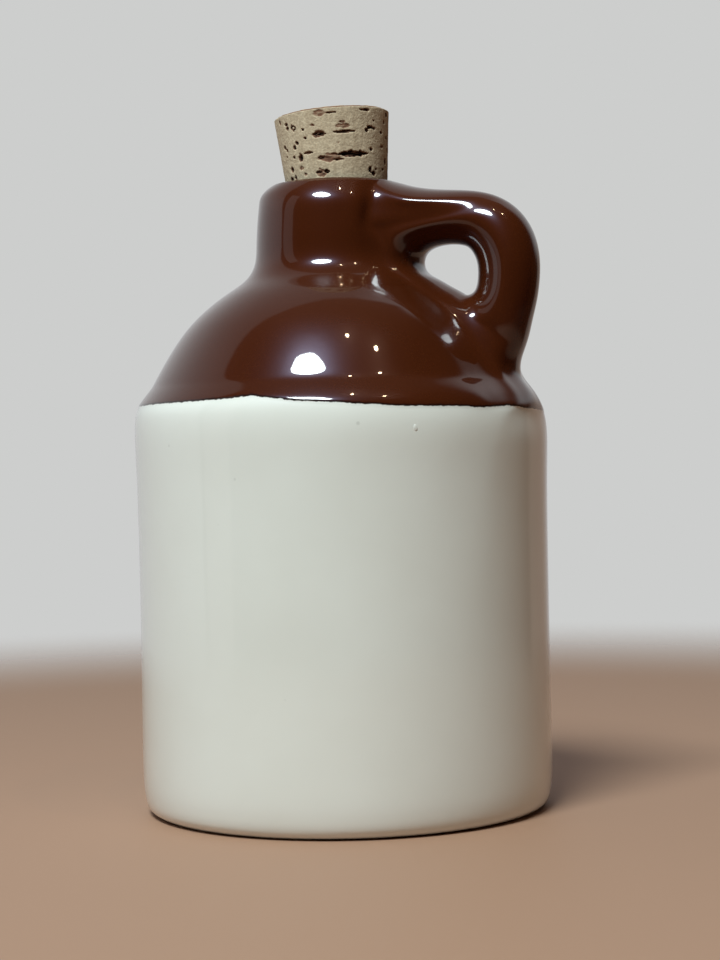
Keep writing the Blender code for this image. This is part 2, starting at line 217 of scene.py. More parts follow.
profile = [cage.verts.new((radius * MM, 0.0, height * MM)) for radius, height in OUTLINE]
for number, vert in enumerate(profile):
    vert[ring_of] = number
profile_edges = [cage.edges.new(pair) for pair in zip(profile, profile[1:])]
bmesh.ops.spin(cage, geom=profile + profile_edges, cent=(0, 0, 0), axis=(0, 0, 1), angle=2 * math.pi,
               steps=COLUMNS, use_merge=True)
bmesh.ops.remove_doubles(cage, verts=cage.verts, dist=MERGE_DISTANCE * MM)
for vert in cage.verts:
    if math.hypot(vert.co.x, vert.co.y) > MERGE_DISTANCE * MM:
        vert[column_of] = round(math.atan2(vert.co.y, vert.co.x) / (2 * math.pi) * COLUMNS)
    if 0 <= row_of(vert) <= HANDLE_LAST_ROW and abs(vert[column_of]) < ROOT_COLUMN:
        vert.co = handle_place(row_of(vert), vert[column_of])
    else:
        vert.co = ring_place(vert[ring_of], vert[column_of])


def hole_place(vert):
    """The point of the hole's outline that belongs to a vertex round a flank of the handle."""
    column = abs(vert[column_of])
    if column == 1:
        return HOLE_OUTLINE[row_of(vert) - HOLE_FIRST_ROW]
    if column == ROOT_COLUMN:
        return HOLE_OUTLINE[len(HOLE_OUTLINE) - 2 - (row_of(vert) - HOLE_FIRST_ROW)]
    return HOLE_OUTLINE[-1] if row_of(vert) == HOLE_FIRST_ROW else HOLE_OUTLINE[HOLE_LOWEST]


def edge_place(vert):
    """On the edge of the hole's funnel: out from its outline and near the face of the handle."""
    x, z, back = hole_place(vert)
    out = (Vector((x, z)) - Vector(HOLE_CENTRE)).normalized() * back
    return Vector((x + out.x, bar_half_width(x, z) * HOLE_EDGE_WIDTH_SHARE, z + out.y)) * MM


def flank_place(vert):
    """Half way from a vertex round a flank to the edge of the hole, on the face of the handle."""
    edge = edge_place(vert)
    middle = (vert.co + edge) / 2
    middle.y = edge.y + (abs(vert.co.y) - edge.y) * FLANK_BLEND_SHARE
    if abs(vert[column_of]) == 1:
        middle.y = bar_half_width(middle.x / MM, middle.z / MM) * MM
    return middle


def boundary(faces):
    """Edges that have just one of the faces on them."""
    uses = {}
    for face in faces:
        for edge in face.edges:
            uses[edge] = uses.get(edge, 0) + 1
    return [edge for edge, count in uses.items() if count == 1]


def on_flank(face, side):
    """Whether a face of the cage is in the part of one flank that the hole goes through."""
    columns = [vert[column_of] * side for vert in face.verts]
    rows = [row_of(vert) for vert in face.verts]
    beside_bar = 1 <= min(columns) and max(columns) <= ROOT_COLUMN
    return beside_bar and HOLE_FIRST_ROW <= min(rows) and max(rows) <= HOLE_LAST_ROW


# Both flanks are inset twice towards the hole, their middles come out, and a wall joins the two openings
hole_edges = []
for side in (-1, 1):
    middle = [face for face in cage.faces if on_flank(face, side)]
    for place in (flank_place, edge_place):
        bmesh.ops.inset_region(cage, faces=middle, thickness=INSET_DEPTH * MM, use_boundary=True)
        inside = {vert for face in middle for vert in face.verts}
        lip = boundary(middle)
        for vert in {vert for edge in lip for vert in edge.verts}:
            neighbours = [edge.other_vert(vert) for edge in vert.link_edges]
            root = next(neighbour for neighbour in neighbours if neighbour not in inside)
            vert[ring_of] = root[ring_of]
            vert[column_of] = root[column_of]
            vert.co = place(root)
            vert.co.y *= side
    hole_edges += lip
    bmesh.ops.delete(cage, geom=middle, context="FACES")
wall = bmesh.ops.bridge_loops(cage, edges=hole_edges)["edges"]
across = [edge for edge in wall if edge.verts[0].co.y * edge.verts[1].co.y < 0]
cut = bmesh.ops.subdivide_edges(cage, edges=across, cuts=1)
for vert in [item for item in cut["geom_inner"] if isinstance(item, bmesh.types.BMVert)]:
    beside = next(edge.other_vert(vert) for edge in vert.link_edges
                  if abs(edge.other_vert(vert).co.y) > MERGE_DISTANCE * MM)
    vert.co = Vector((hole_place(beside)[0], 0.0, hole_place(beside)[1])) * MM


def smoothed(vert):
    """Where repeated Catmull-Clark smoothing takes a vertex that has four-sided faces round it."""
    count = len(vert.link_faces)
    total = vert.co * count * count
    for edge in vert.link_edges:
        total += edge.other_vert(vert).co * 4
    for face in vert.link_faces:
        corners = list(face.verts)
        total += corners[(corners.index(vert) + 2) % 4].co
    return total / (count * (count + 5))


# The cage is moved out until smoothing takes its vertices back to where they were drawn; the foot stays flat
four_sided = [vert for vert in cage.verts if all(len(face.verts) == 4 for face in vert.link_faces)]
drawn = {vert: vert.co.copy() for vert in four_sided}
for _ in range(CAGE_PASSES):
    moves = {vert: target - smoothed(vert) for vert, target in drawn.items()}
    for vert, move in moves.items():
        if vert[ring_of] < len(FOOT_RADII):
            move.z = 0.0
        vert.co += move
bmesh.ops.recalc_face_normals(cage, faces=cage.faces)


def smooth_mesh(name, cage_mesh, levels):
    """A mesh made from a cage by Catmull-Clark smoothing, applied."""
    mesh = bpy.data.meshes.new(name)
    cage_mesh.to_mesh(mesh)
    cage_mesh.free()
    carrier = bpy.data.objects.new(name, mesh)
    bpy.context.scene.collection.objects.link(carrier)
    modifier = carrier.modifiers.new("smooth", "SUBSURF")
    modifier.levels = levels
    modifier.render_levels = levels
    bpy.context.view_layer.update()
    final = bpy.data.meshes.new_from_object(carrier.evaluated_get(bpy.context.evaluated_depsgraph_get()))
    bpy.data.objects.remove(carrier)
    return final


jug_mesh = smooth_mesh("jug_cage", cage, SMOOTHING_LEVELS)

# Jug, the glaze
# The white glaze covers the whole piece. The jug was then dipped head down in brown glaze, which ends on the
# shoulder in an uneven line with a slightly swollen edge. The line is given as (direction, height).
GLAZE_LINE = [(-180, 78.1), (-135, 78.35), (-112, 78.4), (-97, 78.65), (-88, 79.0), (-83, 78.5),
              (-76, 77.85), (-66, 77.45), (-58, 77.05), (-48, 76.6), (-35, 76.55), (-24, 76.3),
              (-13, 76.6), (-4, 76.2), (12, 75.9), (45, 75.8), (80, 76.5), (110, 76.9), (145, 77.7),
              (180, 78.1)]
GLAZE_THICKNESS = 0.12
GLAZE_START = (-0.15, 0.25)
GLAZE_BEAD = 0.035
BEAD_ABOVE_LINE = 0.5
BEAD_WIDTH = 0.8
UNEVENNESS = 0.07
UNEVENNESS_SIZE = 26.0

# The coat's thickness is left off the foot and off the bore of the neck
GLAZED_FROM_HEIGHT = 1.5
GLAZED_FROM_RADIUS = 12.0


def line_height(x, y):
    """Height of the lower edge of the brown glaze in the direction of a point."""
    angle = math.degrees(math.atan2(y, x))
    for (angle_a, height_a), (angle_b, height_b) in zip(GLAZE_LINE, GLAZE_LINE[1:]):
        if angle <= angle_b:
            return height_a + (height_b - height_a) * smooth_share(angle, angle_a, angle_b)
    return GLAZE_LINE[-1][1]


jug_bm = bmesh.new()
jug_bm.from_mesh(jug_mesh)

# Slip and glaze fill the small hollows of the handle, so its skin is evened out, less and less away from it
EVENING_PASSES = 40
EVENING_STRENGTH = 0.5
EVENING_SPAN_X = (9.0, 13.0)
EVENING_SPAN_Y = (17.0, 12.0)
EVENING_SPAN_Z = (75.0, 79.0)
EVENING_TOP = (120.6, 119.4)
EVENED_FROM_RADIUS = 13.0
evened = {}
for vert in jug_bm.verts:
    x, y, z = vert.co / MM
    share = smooth_share(x, *EVENING_SPAN_X) * smooth_share(abs(y), *EVENING_SPAN_Y)
    share *= smooth_share(z, *EVENING_SPAN_Z) * smooth_share(z, *EVENING_TOP)
    if share > 0 and math.hypot(x, y) > EVENED_FROM_RADIUS:
        evened[vert] = (share, vert.co.copy())
for _ in range(EVENING_PASSES):
    bmesh.ops.smooth_vert(jug_bm, verts=list(evened), factor=EVENING_STRENGTH, use_axis_x=True,
                          use_axis_y=True, use_axis_z=True)
for vert, (share, start) in evened.items():
    vert.co = start.lerp(vert.co, share)

# The skin gets finer rows between these heights, where the edge of the brown glaze is
LINE_ZONE = (74.6, 80.2)
LINE_ZONE_FROM_RADIUS = 37.0
LINE_ZONE_CUTS = 2
UPRIGHT_SHARE = 0.7


def in_line_zone(edge):
    """Whether an edge of the mesh runs upright over the outer skin where the glaze ends."""
    low, high = sorted(vert.co.z for vert in edge.verts)
    upright = high - low > UPRIGHT_SHARE * edge.calc_length()
    outer = math.hypot(edge.verts[0].co.x, edge.verts[0].co.y) > LINE_ZONE_FROM_RADIUS * MM
    return LINE_ZONE[0] * MM < low and high < LINE_ZONE[1] * MM and upright and outer


upright_edges = [edge for edge in jug_bm.edges if in_line_zone(edge)]
bmesh.ops.subdivide_edges(jug_bm, edges=upright_edges, cuts=LINE_ZONE_CUTS, use_grid_fill=False)
above_line = jug_bm.verts.layers.float.new("above_line")
jug_bm.normal_update()
for vert in jug_bm.verts:
    above = vert.co.z / MM - line_height(vert.co.x, vert.co.y)
    vert[above_line] = above
    coat = GLAZE_THICKNESS * smooth_share(above, *GLAZE_START)
    coat += GLAZE_BEAD * math.exp(-((above - BEAD_ABOVE_LINE) / BEAD_WIDTH) ** 2)
    coat += noise.noise(vert.co / (UNEVENNESS_SIZE * MM)) * UNEVENNESS
    out = math.hypot(vert.co.x, vert.co.y)
    if vert.co.z > GLAZED_FROM_HEIGHT * MM and out > GLAZED_FROM_RADIUS * MM:
        vert.co += vert.normal * coat * MM

# A drop of white glaze that ran together and froze on the wall below the brown
WALL_SKIN_RADIUS = 39.95
DROP_DIRECTION = -45.3
DROP_HEIGHT = 72.7
DROP_HALF_SIZES = (0.15, 0.40, 0.66)
DROP_SLANT = 15.0
drop_angle = math.radians(DROP_DIRECTION)
drop_x = WALL_SKIN_RADIUS * math.cos(drop_angle)
drop_y = WALL_SKIN_RADIUS * math.sin(drop_angle)
drop_place = Vector((drop_x, drop_y, DROP_HEIGHT)) * MM
drop_turn = Matrix.Rotation(drop_angle, 4, "Z") @ Matrix.Rotation(math.radians(DROP_SLANT), 4, "X")
drop_matrix = Matrix.Translation(drop_place) @ drop_turn @ Matrix.Diagonal((*DROP_HALF_SIZES, 1.0))
drop = bmesh.ops.create_icosphere(jug_bm, subdivisions=3, radius=MM, matrix=drop_matrix)
for vert in drop["verts"]:
    vert[above_line] = DROP_HEIGHT - line_height(vert.co.x, vert.co.y)
for face in {face for vert in drop["verts"] for face in vert.link_faces}:
    face.smooth = True
jug_bm.to_mesh(jug_mesh)
jug_bm.free()
jug_mesh.shade_smooth()
jug = bpy.data.objects.new("glazed_jug", jug_mesh)
bpy.context.scene.collection.objects.link(jug)


def linear(colour):
    """Linear red, green and blue with full alpha, from an sRGB hex colour."""
    shares = [int(colour[start:start + 2], 16) / 255 for start in (1, 3, 5)]
    light = [share / 12.92 if share <= 0.04045 else ((share + 0.055) / 1.055) ** 2.4 for share in shares]
    return light + [1.0]


def add_node(tree, kind, settings=None, values=None, links=None):
    """Adds a node, sets its settings and input values, and links its inputs to other nodes' outputs."""
    node = tree.nodes.new(kind)
    for name, value in (settings or {}).items():
        setattr(node, name, value)
    for name, value in (values or {}).items():
        node.inputs[name].default_value = value
    for name, source in (links or {}).items():
        tree.links.new(source, node.inputs[name])
    return node


def new_material(name):
    """A material with only its output, and that material's node tree."""
    material = bpy.data.materials.new(name)
    material.use_nodes = True
    tree = material.node_tree
    tree.nodes.clear()
    return material, tree


# Dipped earthenware glaze: a clear glossy coat over white slip, and over iron-brown glaze above the line.
# The coat gives sharp reflections, and the brown below it is full of fine crystals that spread a dim violet
# glow. Real crystals are finer than this pattern, which is drawn as coarse as it needs to show.
RAGGED_SIZE = 1.111
CLOUD_SIZE = 22.22
CRYSTAL_SIZE = 0.3846
ORANGE_PEEL_SIZE = 6.25
glaze, tree = new_material("dipped_earthenware_glaze")
place = add_node(tree, "ShaderNodeTexCoord").outputs["Object"]
above = add_node(tree, "ShaderNodeAttribute", {"attribute_name": "above_line"}).outputs["Fac"]
ragged = add_node(tree, "ShaderNodeTexNoise", {},
                  {"Scale": 1 / (RAGGED_SIZE * MM), "Detail": 2.0, "Roughness": 0.6}, {"Vector": place})
ragged_shift = add_node(tree, "ShaderNodeMath", {"operation": "MULTIPLY_ADD"}, {1: 0.5, 2: -0.25},
                        {0: ragged.outputs["Fac"]})
ragged_line = add_node(tree, "ShaderNodeMath", {"operation": "ADD"}, {},
                       {0: above, 1: ragged_shift.outputs[0]})
brown_share = add_node(tree, "ShaderNodeMapRange", {}, {"From Min": -0.06, "From Max": 0.06},
                       {"Value": ragged_line.outputs[0]}).outputs["Result"]

cloud = add_node(tree, "ShaderNodeTexNoise", {}, {"Scale": 1 / (CLOUD_SIZE * MM), "Detail": 3.0},
                 {"Vector": place})
white = add_node(tree, "ShaderNodeMix", {"data_type": "RGBA"},
                 {"A": linear("#e8ece8"), "B": linear("#dee0da")}, {"Factor": cloud.outputs["Fac"]})

# Faint grey specks and one pinhole in the white, as (direction, height, radius, how strong)
SPECKS = [(-60.2, 73.7, 0.50, 0.22), (-116.4, 70.6, 0.40, 0.15), (-93.1, 64.3, 0.40, 0.15),
          (-98.7, 56.2, 0.35, 0.15), (-80.4, 25.2, 0.35, 0.20)]
for direction, height, radius, strength in SPECKS:
    speck_x = WALL_SKIN_RADIUS * math.cos(math.radians(direction))
    speck_y = WALL_SKIN_RADIUS * math.sin(math.radians(direction))
    middle = Vector((speck_x, speck_y, height)) * MM
    away = add_node(tree, "ShaderNodeVectorMath", {"operation": "DISTANCE"}, {1: middle}, {0: place})
    shown = add_node(tree, "ShaderNodeMapRange", {"interpolation_type": "SMOOTHSTEP"},
                     {"From Min": radius * MM, "From Max": radius * MM / 4, "To Max": strength},
                     {"Value": away.outputs["Value"]})
    white = add_node(tree, "ShaderNodeMix", {"data_type": "RGBA"}, {"B": linear("#6f6f68")},
                     {"A": white.outputs["Result"], "Factor": shown.outputs["Result"]})

crystal = add_node(tree, "ShaderNodeTexNoise", {}, {"Scale": 1 / (CRYSTAL_SIZE * MM), "Detail": 1.0},
                   {"Vector": place})
crystal_share = add_node(tree, "ShaderNodeMapRange", {}, {"From Min": 0.52, "From Max": 0.70},
                         {"Value": crystal.outputs["Fac"]})
brown_cloud = add_node(tree, "ShaderNodeMix", {"data_type": "RGBA"},
                       {"A": linear("#3b1808"), "B": linear("#441d0a")}, {"Factor": cloud.outputs["Fac"]})
brown = add_node(tree, "ShaderNodeMix", {"data_type": "RGBA"}, {"B": linear("#431d0a")},
                 {"A": brown_cloud.outputs["Result"], "Factor": crystal_share.outputs["Result"]})
# Painted shade: the brown is darkened in a band just above its lower edge, for the shadow line under the
# glaze's swollen edge
brown_edge_shade_share = add_node(tree, "ShaderNodeMapRange", {}, {"From Min": 0.45, "From Max": 0.15, "To Max": 0.85},
                      {"Value": ragged_line.outputs[0]})
edge_shaded_brown = add_node(tree, "ShaderNodeMix", {"data_type": "RGBA"}, {"B": linear("#150907")},
                       {"A": brown.outputs["Result"], "Factor": brown_edge_shade_share.outputs["Result"]})
colour = add_node(tree, "ShaderNodeMix", {"data_type": "RGBA"}, {},
                  {"A": white.outputs["Result"], "B": edge_shaded_brown.outputs["Result"], "Factor": brown_share})
roughness = add_node(tree, "ShaderNodeMapRange", {}, {"To Min": 0.30, "To Max": 0.26},
                     {"Value": brown_share})
orange_peel = add_node(tree, "ShaderNodeTexNoise", {}, {"Scale": 1 / (ORANGE_PEEL_SIZE * MM), "Detail": 2.0},
                       {"Vector": place})
peel = add_node(tree, "ShaderNodeBump", {}, {"Strength": 0.04, "Distance": 0.0006},
                {"Height": orange_peel.outputs["Fac"]})
shader = add_node(tree, "ShaderNodeBsdfPrincipled", {},
                  {"IOR": 1.5, "Specular IOR Level": 0.17, "Specular Tint": linear("#c8c4ee"),
                   "Coat Weight": 1.0, "Coat Roughness": 0.03, "Coat IOR": 1.5},
                  {"Base Color": colour.outputs["Result"], "Roughness": roughness.outputs["Result"],
                   "Normal": peel.outputs["Normal"], "Coat Normal": peel.outputs["Normal"]})
add_node(tree, "ShaderNodeOutputMaterial", {}, {}, {"Surface": shader.outputs["BSDF"]})
jug_mesh.materials.clear()
jug_mesh.materials.append(glaze)
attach(jug, "root")
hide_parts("jug")

# Cork stopper
# A tapered stopper punched from natural cork bark and pushed into the mouth by hand, so it leans a little.
# The bark's pores run across it: cut lengthwise they show as ragged gashes, and cut across as round dots.
CORK_TOP_RADIUS = 11.2
CORK_BOTTOM_RADIUS = 8.7
CORK_LENGTH = 25.4
CORK_TOP_HEIGHT = 134.5
CORK_LEAN = 3.5
CORK_LEAN_TOWARDS = 205.0
CORK_ASIDE = 0.25
CORK_EDGE = 0.4
CORK_STEPS = 440
CORK_FINE_LENGTH = 15.5
CORK_FINE_ROWS = 110
CORK_PLAIN_ROWS = 16
CORK_TOP_ROWS = 44
CORK_BOTTOM_ROWS = 8
RIM_HEIGHT = RIM_OUTLINE[-1][1]

# The pores run square to this direction, which is also the middle of the side that shows its gashes
CORK_FRONT = -65.0

# Pores of that side, seen square on, as (to the right of its middle, below the top, half length, half
# height, depth). Where two overlap, the deeper one carries the darker painted shade of the same gash.
GASHES = [(-2.65, 5.1, 1.65, 0.80, 0.30), (-3.1, 5.0, 1.0, 0.34, 0.90), (-2.1, 5.2, 0.9, 0.30, 0.70),
          (-2.4, 1.2, 1.5, 0.75, 0.17), (-0.1, 1.3, 1.2, 0.22, 0.40), (2.1, 3.2, 0.9, 0.30, 0.24),
          (2.0, 3.9, 1.7, 0.60, 0.17), (2.4, 5.0, 2.6, 0.26, 0.60), (6.5, 1.0, 1.5, 0.28, 0.45),
          (-0.9, 9.6, 2.9, 0.85, 0.24), (-2.5, 9.5, 0.8, 0.45, 0.55), (3.6, 9.2, 3.4, 0.62, 0.95),
          (0.6, 10.1, 1.4, 0.22, 0.50), (-2.65, 12.4, 1.3, 0.90, 0.22), (-3.2, 12.2, 0.7, 0.30, 0.60),
          (-1.7, 12.2, 0.6, 0.42, 0.75), (-2.6, 13.7, 1.3, 0.15, 0.35), (-5.0, 8.3, 1.2, 0.28, 0.45)]
DOTS = [(-8.8, 2.2, 0.55, 0.32, 0.8), (-8.6, 3.0, 0.38, 0.42, 0.8), (-5.7, 3.8, 0.26, 0.26, 0.7),
        (-3.8, 3.3, 0.45, 0.27, 0.22), (-5.35, 5.45, 0.30, 0.27, 0.7), (-10.0, 1.5, 0.35, 0.55, 0.4),
        (-7.0, 6.1, 0.42, 0.36, 0.8), (-7.5, 6.8, 0.42, 0.42, 0.8), (-9.4, 6.4, 0.42, 0.42, 0.7),
        (-9.0, 7.0, 0.36, 0.36, 0.7), (-9.1, 8.2, 0.26, 0.22, 0.3), (-7.75, 8.6, 0.30, 0.30, 0.7),
        (-6.5, 8.9, 0.52, 0.90, 0.7), (-6.5, 10.9, 0.52, 0.48, 0.2), (-8.3, 10.8, 0.42, 0.52, 0.8),
        (-5.8, 12.2, 0.32, 0.27, 0.25), (-7.7, 12.5, 0.28, 0.47, 0.7), (-8.5, 12.6, 0.52, 0.57, 0.7),
        (6.5, 4.8, 0.45, 0.36, 0.8), (7.2, 4.2, 0.70, 0.36, 0.8), (7.9, 4.4, 0.42, 0.30, 0.7),
        (8.0, 2.9, 0.28, 0.20, 0.5), (9.25, 5.0, 0.47, 0.29, 0.7), (10.6, 1.3, 0.60, 0.52, 0.5),
        (10.0, 2.9, 0.32, 0.47, 0.4), (10.2, 5.7, 0.42, 0.42, 0.5), (9.2, 7.6, 0.62, 0.42, 0.18),
        (10.2, 7.9, 0.42, 0.42, 0.4), (7.05, 8.4, 0.37, 0.30, 0.6), (6.6, 12.3, 0.37, 0.82, 0.8),
        (7.2, 12.9, 0.52, 0.40, 0.7), (7.7, 12.1, 0.22, 0.32, 0.4), (9.0, 11.9, 0.42, 0.27, 0.6),
        (9.6, 10.4, 0.47, 0.72, 0.6), (0.85, 7.0, 0.32, 0.27, 0.12)]

# One round pore at the left keeps a plug of bark in its middle
RING_PORE = (-7.45, 3.2, 0.66, 0.62, 0.8)
RING_CORE = 0.42

# Gashes narrow to points at their ends, and dots are oval
GASH_TAPER = 1.0
DOT_TAPER = 0.5

# The pores of the side turned away from the front, of the part inside the mouth and of the top end are
# drawn by chance. They are longest square on to the front or the back, and are dots a quarter turn away.
PORE_SEED = 7
OTHER_SIDE_PORES = 150
OTHER_SIDE_FROM = 88.0
INSIDE_MOUTH_FROM = 14.5
SIDE_PORE_MARGIN = 0.8
PORE_HALF_HEIGHTS = (0.18, 0.5)
SIDE_STRETCH = 4.0
SIDE_STRETCH_LOSS = 2.0
GASH_FROM_STRETCH = 1.5
SIDE_LENGTH_SHARE = 1.3
SIDE_PORE_DEPTHS = (0.3, 0.9)
END_PORES = 26
END_PORE_MARGIN = 1.5
END_PORE_STRETCHES = (1.5, 5.0)
END_PORE_DEPTHS = (0.3, 0.8)

# The edge of the top end is worn, unevenly and only this near to it; the worn band is coloured like a pore,
# which paints shade along the edge as a thin dark line
EDGE_WEAR_AND_SHADE = 0.3
EDGE_WEAR_AND_SHADE_DEPTH = 0.32
WEAR_AND_SHADE_SIZE = 1.5
WEAR_AND_SHADE_UNEVENNESS = 0.7
END_LEVEL = 0.01

# The rim of a pore is ragged by two sizes of grain, each given as (size, share of the pore)
RAGGED_RIM = [(0.9, 0.45), (0.35, 0.30)]
RAGGED_TIP_SHARE = 0.2
RIM_SEARCH_SHARE = 1.4
RIM_SEARCH_MARGIN = 0.2

# Its wall falls off steeply, and its floor is in layers that run along it
WALL_STEEPNESS = 3.5
LAYERS_ALONG = 1.6
LAYERS_ACROSS = 3.2
LAYERS_APART = 7.3
FLOOR_SHARE = 0.8
LAYER_SHARE = 0.9

# The mesh is cut to this share of a pore's depth, and its whole skin is a little uneven
CUT_SHARE = 0.8
GRAIN_SIZE = 1.1
GRAIN_DEPTH = 0.04
CORK_MERGE_DISTANCE = 0.005

cork_bm = bmesh.new()
CORK_TAPER = (CORK_TOP_RADIUS - CORK_BOTTOM_RADIUS) / CORK_LENGTH


def cork_radius(below):
    """Radius of the cork's side at a depth below its top."""
    return CORK_TOP_RADIUS - CORK_TAPER * below


def spread(start, end, steps):
    """Evenly spread values from start up to but not with end."""
    return [start + (end - start) * step / steps for step in range(steps)]


top_flat_radius = CORK_TOP_RADIUS - CORK_EDGE
bottom_flat_radius = CORK_BOTTOM_RADIUS - CORK_EDGE
side_end = CORK_LENGTH - CORK_EDGE
side_depths = spread(CORK_EDGE, CORK_FINE_LENGTH, CORK_FINE_ROWS)
side_depths += spread(CORK_FINE_LENGTH, side_end, CORK_PLAIN_ROWS) + [side_end]
top_radii = spread(0.0, top_flat_radius, CORK_TOP_ROWS) + [top_flat_radius]
bottom_radii = spread(bottom_flat_radius, 0.0, CORK_BOTTOM_ROWS) + [0.0]
cork_outline = [(radius, 0.0) for radius in top_radii]
cork_outline += [(cork_radius(below), below) for below in side_depths]
cork_outline += [(radius, CORK_LENGTH) for radius in bottom_radii]
cork_profile = [cork_bm.verts.new((radius * MM, 0.0, -below * MM)) for radius, below in cork_outline]
cork_edges = [cork_bm.edges.new(pair) for pair in zip(cork_profile, cork_profile[1:])]
bmesh.ops.spin(cork_bm, geom=cork_profile + cork_edges, cent=(0, 0, 0), axis=(0, 0, 1), angle=2 * math.pi,
               steps=CORK_STEPS, use_merge=True)
bmesh.ops.remove_doubles(cork_bm, verts=cork_bm.verts, dist=CORK_MERGE_DISTANCE * MM)
bmesh.ops.recalc_face_normals(cork_bm, faces=cork_bm.faces)
cork_bm.normal_update()
cork_bm.verts.ensure_lookup_table()

# Every pore as its middle, the directions of its length and its height, then its sizes and how it tapers
draw = random.Random(PORE_SEED)
pores = []


def add_side_pore(direction, below, half_length, half_height, depth, taper, core=0.0):
    """Notes a pore in the cork's side."""
    angle = math.radians(direction)
    radius = cork_radius(below)
    middle = Vector((radius * math.cos(angle), radius * math.sin(angle), -below))
    length_way = Vector((-math.sin(angle), math.cos(angle), 0.0))
    height_way = Vector((0.0, 0.0, 1.0))
    pores.append((middle, length_way, height_way, half_length, half_height, depth, taper, core))


shown_pores = [(GASHES, GASH_TAPER, 0.0), (DOTS, DOT_TAPER, 0.0), ([RING_PORE], DOT_TAPER, RING_CORE)]
for shapes, taper, core in shown_pores:
    for across, below, half_length, half_height, depth in shapes:
        direction = CORK_FRONT + math.degrees(math.asin(across / cork_radius(below)))
        add_side_pore(direction, below, half_length, half_height, depth, taper, core)
for _ in range(OTHER_SIDE_PORES):
    turned_away = draw.uniform(-180.0, 180.0)
    below = draw.uniform(SIDE_PORE_MARGIN, CORK_LENGTH - SIDE_PORE_MARGIN)
    half_height = draw.uniform(*PORE_HALF_HEIGHTS)
    square_on = abs(math.cos(math.radians(turned_away)))
    stretch = max(square_on * SIDE_STRETCH - SIDE_STRETCH_LOSS, 1.0)
    taper = GASH_TAPER if stretch > GASH_FROM_STRETCH else DOT_TAPER
    if abs(turned_away) > OTHER_SIDE_FROM or below > INSIDE_MOUTH_FROM:
        half_length = half_height * stretch * SIDE_LENGTH_SHARE
        depth = draw.uniform(*SIDE_PORE_DEPTHS)
        add_side_pore(CORK_FRONT + turned_away, below, half_length, half_height, depth, taper)
front = math.radians(CORK_FRONT)
end_length_way = Vector((-math.sin(front), math.cos(front), 0.0))
end_height_way = Vector((math.cos(front), math.sin(front), 0.0))
for _ in range(END_PORES):
    half_height = draw.uniform(*PORE_HALF_HEIGHTS)
    out = draw.uniform(0.0, 1.0) ** 0.5 * (CORK_TOP_RADIUS - END_PORE_MARGIN)
    angle = draw.uniform(0.0, 2 * math.pi)
    half_length = half_height * draw.uniform(*END_PORE_STRETCHES)
    depth = draw.uniform(*END_PORE_DEPTHS)
    middle = Vector((out * math.cos(angle), out * math.sin(angle), 0.0))
    pores.append((middle, end_length_way, end_height_way, half_length, half_height, depth, GASH_TAPER, 0.0))

pore_depth = cork_bm.verts.layers.float.new("pore_depth")
skin_places = kdtree.KDTree(len(cork_bm.verts))
for number, vert in enumerate(cork_bm.verts):
    skin_places.insert(vert.co / MM, number)
    from_edge = -vert.co.z / MM
    if from_edge <= END_LEVEL:
        from_edge = top_flat_radius - math.hypot(vert.co.x, vert.co.y) / MM
    # Painted shade: the worn band is cut into the skin and coloured through pore_depth, darker as it deepens
    worn_and_shaded = 1.0 - from_edge / EDGE_WEAR_AND_SHADE + noise.noise(vert.co / (WEAR_AND_SHADE_SIZE * MM)) * WEAR_AND_SHADE_UNEVENNESS
    vert[pore_depth] = EDGE_WEAR_AND_SHADE_DEPTH * min(max(worn_and_shaded, 0.0), 1.0)
skin_places.balance()
for number, pore in enumerate(pores):
    middle, length_way, height_way, half_length, half_height, depth, taper, core = pore
    search = max(half_length, half_height) * RIM_SEARCH_SHARE + RIM_SEARCH_MARGIN
    for _, vert_number, _ in skin_places.find_range(middle, search):
        vert = cork_bm.verts[vert_number]
        offset = vert.co / MM - middle
        along = offset.dot(length_way) / half_length
        up = offset.dot(height_way) / half_height
        ragged_rim = sum(noise.noise(vert.co / (size * MM)) * share for size, share in RAGGED_RIM)
        reach = max(1.0 - along * along, 0.0) ** taper
        inside_share = reach - abs(up) + ragged_rim * min(reach + RAGGED_TIP_SHARE, 1.0)
        if inside_share <= 0 or math.hypot(along, up) < core:
            continue
        layers = noise.noise(Vector((along * LAYERS_ALONG, up * LAYERS_ACROSS, number * LAYERS_APART)))
        cut = depth * min(inside_share * WALL_STEEPNESS, 1.0) * (FLOOR_SHARE + LAYER_SHARE * layers)
        vert[pore_depth] = max(vert[pore_depth], cut)
for vert in cork_bm.verts:
    grain = noise.noise(vert.co / (GRAIN_SIZE * MM)) * GRAIN_DEPTH
    vert.co -= vert.normal * (vert[pore_depth] * CUT_SHARE + grain) * MM

towards = math.radians(CORK_LEAN_TOWARDS)
aside = (CORK_TOP_HEIGHT - RIM_HEIGHT) * math.tan(math.radians(CORK_LEAN)) - CORK_ASIDE
top_centre = Vector((aside * math.cos(towards), aside * math.sin(towards), CORK_TOP_HEIGHT)) * MM
lean_axis = Vector((-math.sin(towards), math.cos(towards), 0.0))
leaning = Matrix.Translation(top_centre) @ Matrix.Rotation(math.radians(CORK_LEAN), 4, lean_axis)
bmesh.ops.transform(cork_bm, verts=cork_bm.verts, matrix=leaning)
cork_mesh = bpy.data.meshes.new("cork")
cork_bm.to_mesh(cork_mesh)
cork_bm.free()
cork_mesh.shade_smooth()
cork = bpy.data.objects.new("natural_cork", cork_mesh)
bpy.context.scene.collection.objects.link(cork)
